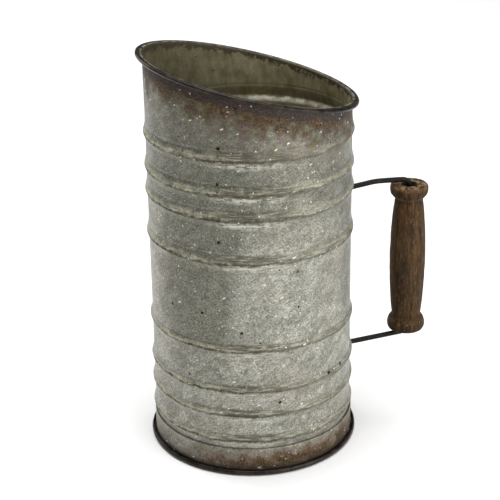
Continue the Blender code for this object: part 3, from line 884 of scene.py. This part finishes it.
def paint_rim(obj, rim, on_rim):
    """Gives the rim's material to the faces in these rows of the outline."""
    obj.data.materials.append(rim)
    obj.data.polygons.foreach_set("material_index", np.tile(on_rim, ROUND).astype(np.int32))


def seam_piece(material):
    """The lapped side seam: a strip down the wall, crimped over the ribs, its open back in the wall."""
    top = mouth_height + mouth_slope * wall_radius * math.cos(seam_angle) - SEAM_TOP
    heights = wall_heights(top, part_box("foot_band")[1].z + 1 * MM)
    half = SEAM_HALF_WIDTH / wall_radius
    rows = []
    for height, radius in zip(heights, wall_radius + rib_profile(heights) + SHEET / 2):
        for share, lift in SEAM_SECTION:
            r = radius + lift * MM
            turn = seam_angle + share * half
            rows.append((r * math.cos(turn), r * math.sin(turn), height))
    width = len(SEAM_SECTION)
    last = (len(heights) - 1) * width
    faces = [(a, a + width, a + width + 1, a + 1) for a in range(last) if a % width < width - 1]
    faces.append(tuple(range(width)))
    faces.append(tuple(last + j for j in reversed(range(width))))
    obj = add_mesh("side_seam", hand_made(np.array(rows)), faces, material)
    height = wobbled(corners_of(obj))
    none = np.zeros(len(height))
    store_zinc(obj, upper_flank(height, none), shade_lines(height, none), highlight_line(height), none)
    return own(obj, "galvanised_sheet", "body_shell")


def band_piece(material, rim):
    """The foot's sleeve, rolled out at the bottom round a wire."""
    low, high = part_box("foot_band")
    ring_radius, ring_height = ring_middle("foot_rim_wire")
    roll = ring_height - BAND_SHEET / 2
    sleeve = wall_radius + SHEET / 2 + GAP + BAND_SHEET / 2
    start = math.degrees(math.acos((sleeve - ring_radius) / roll))
    heights = np.linspace(high.z, ring_height + roll, SLEEVE_ROWS)
    wall = np.column_stack((np.full(SLEEVE_ROWS, sleeve), heights))
    curl = arc((ring_radius, ring_height), roll, start, 420, 34)
    outline, facing = sheet_outline(np.vstack((wall, curl)), BAND_SHEET)
    outline[:, 1] = np.maximum(outline[:, 1], low.z)
    obj = turned("foot_sleeve", outline, material)
    inside = np.tile(np.where(facing[:, 0] < -0.2, 1.0, 0.0), ROUND)
    none = np.zeros(len(inside))
    store_zinc(obj, none, none, none, inside)
    row = np.arange(len(outline))
    paint_rim(obj, rim, (row >= SLEEVE_ROWS) & (row < len(row) - SLEEVE_ROWS - 1))
    return own(obj, "galvanised_sheet", "foot_band")


def plain_attributes(obj):
    """What the galvanised material reads, on a piece that is away from the mouth and foot rust."""
    none = np.zeros(len(obj.data.vertices))
    store_zinc(obj, none, none, none, none + 0.6)
    for name, value in (("drop", 0.2), ("rise", 0.2), ("tarnish_and_shade", 0.3)):
        store(obj, name, none + value)
    return obj


def rounded_section(corners, radius):
    """A closed outline with each corner rounded off by a few points."""
    corners = np.asarray(corners, float)
    made = []
    for before, here, after in zip(np.roll(corners, 1, 0), corners, np.roll(corners, -1, 0)):
        into = (here - before) / np.linalg.norm(here - before)
        out = (after - here) / np.linalg.norm(after - here)
        start, end = here - into * radius, here + out * radius
        for t in (0.0, 0.33, 0.67, 1.0):
            made.append((1 - t) ** 2 * start + 2 * t * (1 - t) * here + t**2 * end)
    return np.array(made)


# ---- sieve


def sheet_ring(name, node, section, material):
    """A ring of bent sheet, its corners eased."""
    obj = turned(name, rounded_section(section, EASED_CORNER), material, SMALL_ROUND)
    return own(plain_attributes(obj), "galvanised_sheet", node)


def seat_piece(material):
    """The ring of L section that the sieve rests on."""
    low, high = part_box("sieve_seat")
    inner, outer = ring_size("sieve_seat")
    under = high.z - SHEET
    section = [(inner, high.z), (outer, high.z), (outer, low.z)]
    section += [(outer - SHEET, low.z), (outer - SHEET, under), (inner, under)]
    return sheet_ring("sieve_seat_ring", "sieve_seat", section, material)


def hoop_piece(material):
    """The channel hoop whose lips grip the wire cloth's edge."""
    low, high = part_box("sieve_hoop")
    inner, outer = ring_size("sieve_hoop")
    web, floor, roof = outer - HOOP_SHEET, low.z + HOOP_SHEET, high.z - HOOP_SHEET
    section = [(outer, high.z), (outer, low.z), (inner, low.z), (inner, floor)]
    section += [(web, floor), (web, roof), (inner, roof), (inner, high.z)]
    return sheet_ring("sieve_channel", "sieve_hoop", section, material)


def cloth_wire(points, faces, line, steps, lengthwise):
    """One wire of the cloth, passing over and under the wires that it crosses."""
    first = len(points)
    corners = [(math.cos(a), math.sin(a)) for a in np.linspace(0, 2 * math.pi, 5)[:4] + math.pi / 4]
    for i in range(-steps, steps + 1):
        side = 1 if (i + line) % 2 == 0 else -1
        height = cloth_height + CLOTH_WIRE_RADIUS * side * (1 if lengthwise else -1)
        for out, up in corners:
            along = i * CLOTH_PITCH
            spread = line * CLOTH_PITCH + out * CLOTH_WIRE_RADIUS
            lift = height + up * CLOTH_WIRE_RADIUS
            points.append((along, spread, lift) if lengthwise else (spread, along, lift))
    for i in range(first, first + 8 * steps, 4):
        for j in range(4):
            a, b = i + j, i + (j + 1) % 4
            faces.append((a, b, b + 4, a + 4) if lengthwise else (b, a, a + 4, b + 4))


def cloth_piece(material):
    """Plain-woven wire cloth, its wires' ends hidden in the hoop."""
    reach = ring_size("sieve_screen")[1]
    count = int(reach / CLOTH_PITCH)
    points, faces = [], []
    for line in range(-count, count + 1):
        half = math.sqrt(max(reach**2 - (line * CLOTH_PITCH) ** 2, 0))
        steps = int(half / CLOTH_PITCH)
        if steps >= 2:
            cloth_wire(points, faces, line, steps, True)
            cloth_wire(points, faces, line, steps, False)
    obj = add_mesh("woven_cloth", points, faces, material)
    return own(obj, "wire_cloth", "sieve_screen")


def stay_piece(node, material):
    """One flat strip under the cloth, its ends rounded and its edges eased."""
    low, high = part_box(node)
    size = high - low
    along_x = size.x > size.y
    half, width = (size.x / 2, size.y / 2) if along_x else (size.y / 2, size.x / 2)
    outline = []
    for end in (1, -1):
        for t in np.linspace(-1, 1, 7):
            back = (1 - math.cos(t * width / half)) * half
            outline.append((end * (half - back), end * t * width))
    points = [(x, y, z) if along_x else (-y, x, z) for z in (low.z, high.z) for x, y in outline]
    count = len(outline)
    faces = [tuple(reversed(range(count))), tuple(range(count, 2 * count))]
    for i in range(count):
        j = (i + 1) % count
        faces.append((i, j, j + count, i + count))
    obj = add_mesh(node.replace("sieve_", "") + "_strip", points, faces, material)
    obj.data.set_sharp_from_angle(angle=SHARP)
    add_bevel(obj, 0.15 * MM)
    return own(plain_attributes(obj), "galvanised_sheet", node)


def spring_piece(material):
    """The split wire ring that springs out over the hoop."""
    points = node_points("sieve_spring_ring")
    ring_radius, height = ring_middle("sieve_spring_ring")
    wire_radius = (points[:, 2].max() - points[:, 2].min()) / 2
    order = np.sort(azimuth(points) % 360)
    gaps = np.diff(np.append(order, order[0] + 360))
    start = order[(gaps.argmax() + 1) % len(order)]
    angles = np.radians(start + np.linspace(0, 360 - gaps.max(), 200))
    path = [(ring_radius * math.cos(a), ring_radius * math.sin(a), height) for a in angles]
    obj = tube("spring_ring", path, wire_radius, material)
    return own(obj, "plain_steel_wire", "sieve_spring_ring")


# ---- handle


def handle_piece(material):
    """The bent wire, along the CAD wire's own line: corners with the radii of their bends."""
    points = node_points("handle_wire")
    low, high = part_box("handle_wire")
    radius = (high.y - low.y) / 2
    inside = low.x + radius
    upper = middle("rivet_upper_left").z
    lower = middle("rivet_lower_left").z
    crest = high.z - radius
    run = points[points[:, 0] > grip_x - 8 * MM][:, 2].min() + radius
    body_radius = wall_radius + SHEET / 2
    clinch = lower - low.z
    corners = [
        ((inside, 0, upper - clinch), 0),
        ((inside, 0, upper), 2.2 * MM),
        ((body_radius + 1.5 * MM, 0, upper), 12 * MM),
        ((body_radius + 20 * MM, 0, crest), 40 * MM),
        ((grip_x - 10 * MM, 0, crest - 0.6 * MM), 20 * MM),
        ((grip_x, 0, crest - 1.4 * MM), 5 * MM),
        ((grip_x, 0, run), 4.4 * MM),
        ((body_radius + 1.5 * MM, 0, lower), 12 * MM),
        ((inside, 0, lower), 2.2 * MM),
        ((inside, 0, low.z), 0),
    ]
    obj = tube("bent_wire", rounded(corners), radius, material, sides=24)
    return own(obj, "dark_wire", "handle_wire")


def plate_points(node, columns, rows):
    """Corners of a curved plate with rounded corners: its outer face, then its inner face."""
    low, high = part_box(node)
    half_width = math.asin(high.y / high.x) * high.x
    half_height = (high.z - low.z) / 2
    points = []
    for radius in (high.x, high.x - PLATE_SHEET):
        for i in range(columns + 1):
            across = -half_width + 2 * half_width * i / columns
            over = max(abs(across) - (half_width - PLATE_CORNER), 0)
            limit = half_height - PLATE_CORNER + math.sqrt(max(PLATE_CORNER**2 - over**2, 0))
            turn = across / high.x
            for j in range(rows + 1):
                z = middle(node).z - limit + 2 * limit * j / rows
                points.append((radius * math.cos(turn), radius * math.sin(turn), z))
    return points


def plate_piece(node, material):
    """A curved backing plate inside the wall."""
    columns, rows = 24, 10
    points, faces = plate_points(node, columns, rows), []
    stride = rows + 1
    layer = len(points) // 2

    def edge(a, b, flip):
        quad = (a, b, b + layer, a + layer)
        faces.append(quad[::-1] if flip else quad)

    for i in range(columns):
        first = i * stride
        for a in range(first, first + rows):
            b = a + layer
            faces.append((a, a + stride, a + stride + 1, a + 1))
            faces.append((b, b + 1, b + stride + 1, b + stride))
        edge(first, first + stride, True)
        edge(first + rows, first + stride + rows, False)
    for first, flip in ((0, False), (columns * stride, True)):
        for a in range(first, first + rows):
            edge(a, a + 1, flip)
    obj = add_mesh(node.replace("backing_", ""), points, faces, material)
    obj.data.set_sharp_from_angle(angle=SHARP)
    return own(plain_attributes(obj), "galvanised_sheet", node)


def rivet_piece(node, material):
    """A rivet with a smooth domed head and a flat tail."""
    points = node_points(node)
    centre = middle(node)
    angle = math.atan2(centre.y, centre.x)
    along = points[:, 0] * math.cos(angle) + points[:, 1] * math.sin(angle)
    across = points[:, 1] * math.cos(angle) - points[:, 0] * math.sin(angle)
    head = np.hypot(across, points[:, 2] - centre.z).max()
    back, seat = along.min(), along.max() - RIVET_HEAD
    shank, foot, tail = 0.5 * head, 0.85 * head, back + RIVET_TAIL
    profile = [(AXIS, back), (0.7 * head, back), (foot, back + 0.25 * MM), (foot, tail)]
    profile += [(shank, tail), (shank, seat), (head, seat)]
    for turn in np.linspace(0, math.pi / 2, 10):
        height = seat + 0.25 * MM + 0.85 * MM * math.sin(turn)
        profile.append((max(head * math.cos(turn), AXIS), height))
    obj = turned(node.replace("rivet_", "rivet_head_"), profile, material, 32)
    lift = Matrix.Translation((0, 0, centre.z))
    spin = Matrix.Rotation(angle, 4, "Z")
    lie = Matrix.Rotation(math.pi / 2, 4, "Y")
    obj.data.transform(lift @ spin @ lie)
    return own(plain_attributes(obj), "galvanised_sheet", node)


# ---- grip


def smoothed(points, per_piece):
    """A smooth curve through these points."""
    points = np.asarray(points, float)
    padded = np.vstack((2 * points[0] - points[1], points, 2 * points[-1] - points[-2]))
    made = []
    for a, b, c, d in zip(padded, padded[1:], padded[2:], padded[3:]):
        for t in np.arange(per_piece) / per_piece:
            square = (2 * a - 5 * b + 4 * c - d) * t**2
            cube = (3 * b - a - 3 * c + d) * t**3
            made.append(0.5 * (2 * b + (c - a) * t + square + cube))
    made.append(points[-1])
    return np.array(made)


def stepped(radius, height, *steps):
    """Places in the grip's section that lie these millimetres out from and above a first one."""
    return [(radius + out * MM, height + up * MM) for out, up in steps]


def grip_sizes(bottom, top):
    """Radii of the grip's bore, its necks, its barrel and its widest place."""
    low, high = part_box("grip")
    points = node_points("grip")
    height = points[:, 2]
    away = np.hypot(points[:, 0] - grip_x, points[:, 1])
    neck = away[(height > top - 13 * MM) & (height < top - 9 * MM)].min()
    barrel = away[np.abs(height - (bottom + top) / 2) < 12 * MM].max()
    return away.min(), neck, barrel, (high.y - low.y) / 2


def grip_line(bottom, top):
    """The grip in section: its side, its lower end, its bore and its upper end."""
    bore, neck, barrel, wide = grip_sizes(bottom, top)
    flange = stepped(wide, top, (-1.1, 0), (-0.35, -0.5), (0, -2.0), (-0.1, -4.4), (-0.8, -6.4))
    flange += stepped(neck, top, (1.0, -8.4), (0, -9.8))
    start, end = top - 10.6 * MM, bottom + 11 * MM
    belly = []
    for share in np.linspace(0, 1, 13):
        end_radius = neck + 0.25 * MM + 0.4 * MM * share
        bulge = (barrel - end_radius) * math.sin(math.pi * share) ** 0.8
        belly.append((end_radius + bulge, start + (end - start) * share))
    bead = stepped(wide, bottom, (-2.5, 10.0), (-1.0, 8.2), (-0.05, 5.2))
    bead += stepped(wide, bottom, (-0.15, 2.4), (-1.0, 0.6), (-2.1, 0))
    side = np.vstack((smoothed(flange, 5), smoothed(belly, 8), smoothed(bead, 6)))
    hole = stepped(bore, bottom, (1.2, 0), (0.2, 2.2), (0, 3))
    hole += stepped(bore, top, (0, -6), (1.4, -3.5), (2.2, -0.4), (2.5, 0))
    lower_end = [(r, bottom) for r in np.linspace(wide - 2.8 * MM, bore + 1.8 * MM, 8)]
    upper_end = [(r, top) for r in np.linspace(bore + 2.9 * MM, wide - 1.6 * MM, 10)]
    return (side, lower_end, hole, upper_end), bore


def worn_wood(place, bore, top):
    """Wears the grip a little uneven, chips its upper edge and puts it in its place."""
    out = place.copy()
    for i, (x, y, z) in enumerate(place):
        away = math.hypot(x, y)
        if away < bore + 2 * MM:
            continue
        wear = noise.noise(Vector((x, y, z)) * 130.0) * 0.28 * MM
        wear += noise.noise(Vector((x, y, z * 0.3)) * 420.0) * 0.09 * MM
        lean = max(0.0, min(1.0, (z - (top - 2.2 * MM)) / (2.2 * MM)))
        chip = max(0.0, noise.noise(Vector((x + 5.0, y, z)) * 160.0)) * 1.3 * MM * lean
        out[i, 0] -= x / away * (abs(wear) + chip * 0.6)
        out[i, 1] -= y / away * (abs(wear) + chip * 0.6)
        if z > top - 0.2 * MM:
            out[i, 2] -= chip * 0.4
    out[:, 0] += grip_x
    return out


def store_grip(obj, parts, bottom, top):
    """Where the grip is worn pale, painted with shade in its grooves and bore, and sawn across."""
    height = np.vstack(parts)[:, 1]
    part = np.repeat(range(len(parts)), [len(points) for points in parts])
    worn = hump(height, top - 0.6 * MM, 1.0 * MM) + 0.3 * hump(height, bottom + 7.5 * MM, 1.2 * MM)
    recess_shade = hump(height, top - 10.2 * MM, 0.8 * MM) + hump(height, bottom + 10.6 * MM, 0.8 * MM)
    recess_shade = 0.4 * recess_shade + 0.4 * hump(height, bottom + 1.5 * MM, 2.8 * MM)
    recess_shade += 0.3 * hump(height, top - 5.5 * MM, 2.2 * MM)
    side, hole, ends = (part == 0), (part == 2), (part % 2 == 1)
    for name, values in (("worn", worn * side), ("recess_shade", recess_shade * side + hole), ("end", 1.0 * ends)):
        store(obj, name, np.tile(np.clip(values, 0, 1), GRIP_STEPS))


def grip_piece(material):
    """The turned wooden grip, worn and slightly uneven."""
    bottom, top = (corner.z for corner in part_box("grip"))
    parts, bore = grip_line(bottom, top)

    def warp(place):
        return worn_wood(place, bore, top)

    obj = turned("turned_grip", np.vstack(parts), material, GRIP_STEPS, warp)
    store_grip(obj, parts, bottom, top)
    return own(obj, "weathered_wood", "grip", body=GRIP)


# ---- studio


def area_light(name, place, aim, size, power):
    data = bpy.data.lights.new(name, "AREA")
    data.shape = "RECTANGLE"
    data.size, data.size_y = size
    data.energy = power
    obj = placed(name, data)
    obj.visible_camera = False
    obj.location = place
    obj.rotation_mode = "QUATERNION"
    obj.rotation_quaternion = (Vector(aim) - Vector(place)).to_track_quat("-Z", "Y")


def around(degrees, distance, height):
    """A place round the object, counted from the camera's side towards the right."""
    turn = math.radians(degrees) + math.atan2(CAMERA_PLACE[1], CAMERA_PLACE[0])
    return (distance * math.cos(turn), distance * math.sin(turn), height)


def studio():
    """A pale floor under a broad light, with a dimmer one on the right and another behind on the left."""
    bpy.context.scene.view_settings.view_transform = "Standard"
    world = bpy.data.worlds.new("studio")
    bpy.context.scene.world = world
    world.use_nodes = True
    background = world.node_tree.nodes["Background"]
    background.inputs["Color"].default_value = (1.0, 1.0, 1.0, 1.0)
    background.inputs["Strength"].default_value = 0.1
    half = 6.0
    corners = [(-half, -half, 0), (half, -half, 0), (half, half, 0), (-half, half, 0)]
    floor = add_mesh("floor", corners, [(0, 1, 2, 3)], floor_material())
    aim = (0.0, 0.0, 0.12)
    area_light("overhead", (0.0, 0.0, 2.2), aim, (2.4, 2.4), 74)
    area_light("right", around(50, 1.5, 0.5), aim, (1.6, 0.9), 18)
    area_light("left_back", around(-135, 1.5, 0.95), aim, (0.7, 1.2), 9)


def camera():
    data = bpy.data.cameras.new("view")
    data.lens = CAMERA_LENS
    data.sensor_width = 36.0
    data.clip_start = 0.05
    data.clip_end = 20.0
    obj = placed("view", data)
    place = Vector(CAMERA_PLACE)
    level = (Vector(CAMERA_AIM) - place).to_track_quat("-Z", "Y").to_matrix().to_4x4()
    roll = Matrix.Rotation(CAMERA_ROLL, 4, "Z")
    obj.matrix_world = Matrix.Translation(place) @ level @ roll
    bpy.context.scene.camera = obj


# ---- the object

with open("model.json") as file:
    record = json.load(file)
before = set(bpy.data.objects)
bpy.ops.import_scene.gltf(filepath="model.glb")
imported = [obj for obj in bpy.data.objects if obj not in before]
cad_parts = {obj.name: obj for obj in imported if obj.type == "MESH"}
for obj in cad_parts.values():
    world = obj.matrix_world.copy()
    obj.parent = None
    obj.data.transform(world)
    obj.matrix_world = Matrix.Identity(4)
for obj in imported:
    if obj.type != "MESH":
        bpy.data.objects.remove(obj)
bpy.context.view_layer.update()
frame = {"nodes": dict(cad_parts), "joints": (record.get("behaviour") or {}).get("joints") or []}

band_points = node_points("foot_band")
band_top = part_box("foot_band")[1].z
band_inner = radius_of(band_points[band_points[:, 2] > band_top - 0.1 * MM]).min()
wall_radius = band_inner - GAP - SHEET / 2
mouth_height, mouth_slope = mouth_plane()
ribs = rib_heights(wall_radius + SHEET / 2)
rib_widths = [1.0] * (len(ribs) - LOW_RIBS) + [LOW_RIB_WIDTH] * LOW_RIBS
seam_angle = seam_direction()
cloth_height = middle("sieve_screen").z
grip_x = frame["joints"][0]["pos_m"][0]

galvanised = galvanised_material()
rim_metal = rim_material()
dark_wire = wire_material()

wall_piece(galvanised, rim_metal)
seam_piece(galvanised)
band_piece(galvanised, rim_metal)
seat_piece(galvanised)
hoop_piece(galvanised)
cloth_piece(cloth_material())
for stay in ("sieve_stay_lower", "sieve_stay_upper"):
    stay_piece(stay, galvanised)
spring_piece(rim_metal)
handle_piece(dark_wire)
for plate in ("backing_plate_upper", "backing_plate_lower"):
    plate_piece(plate, galvanised)
for rivet in ("rivet_upper_left", "rivet_upper_right", "rivet_lower_left", "rivet_lower_right"):
    rivet_piece(rivet, galvanised)
grip_piece(wood_material(grip_x))
for hidden in ("mouth_rim_wire", "foot_rim_wire"):
    finishes = frame["nodes"][hidden].data.materials
    finishes.clear()
    finishes.append(rim_metal)

camera()
studio()
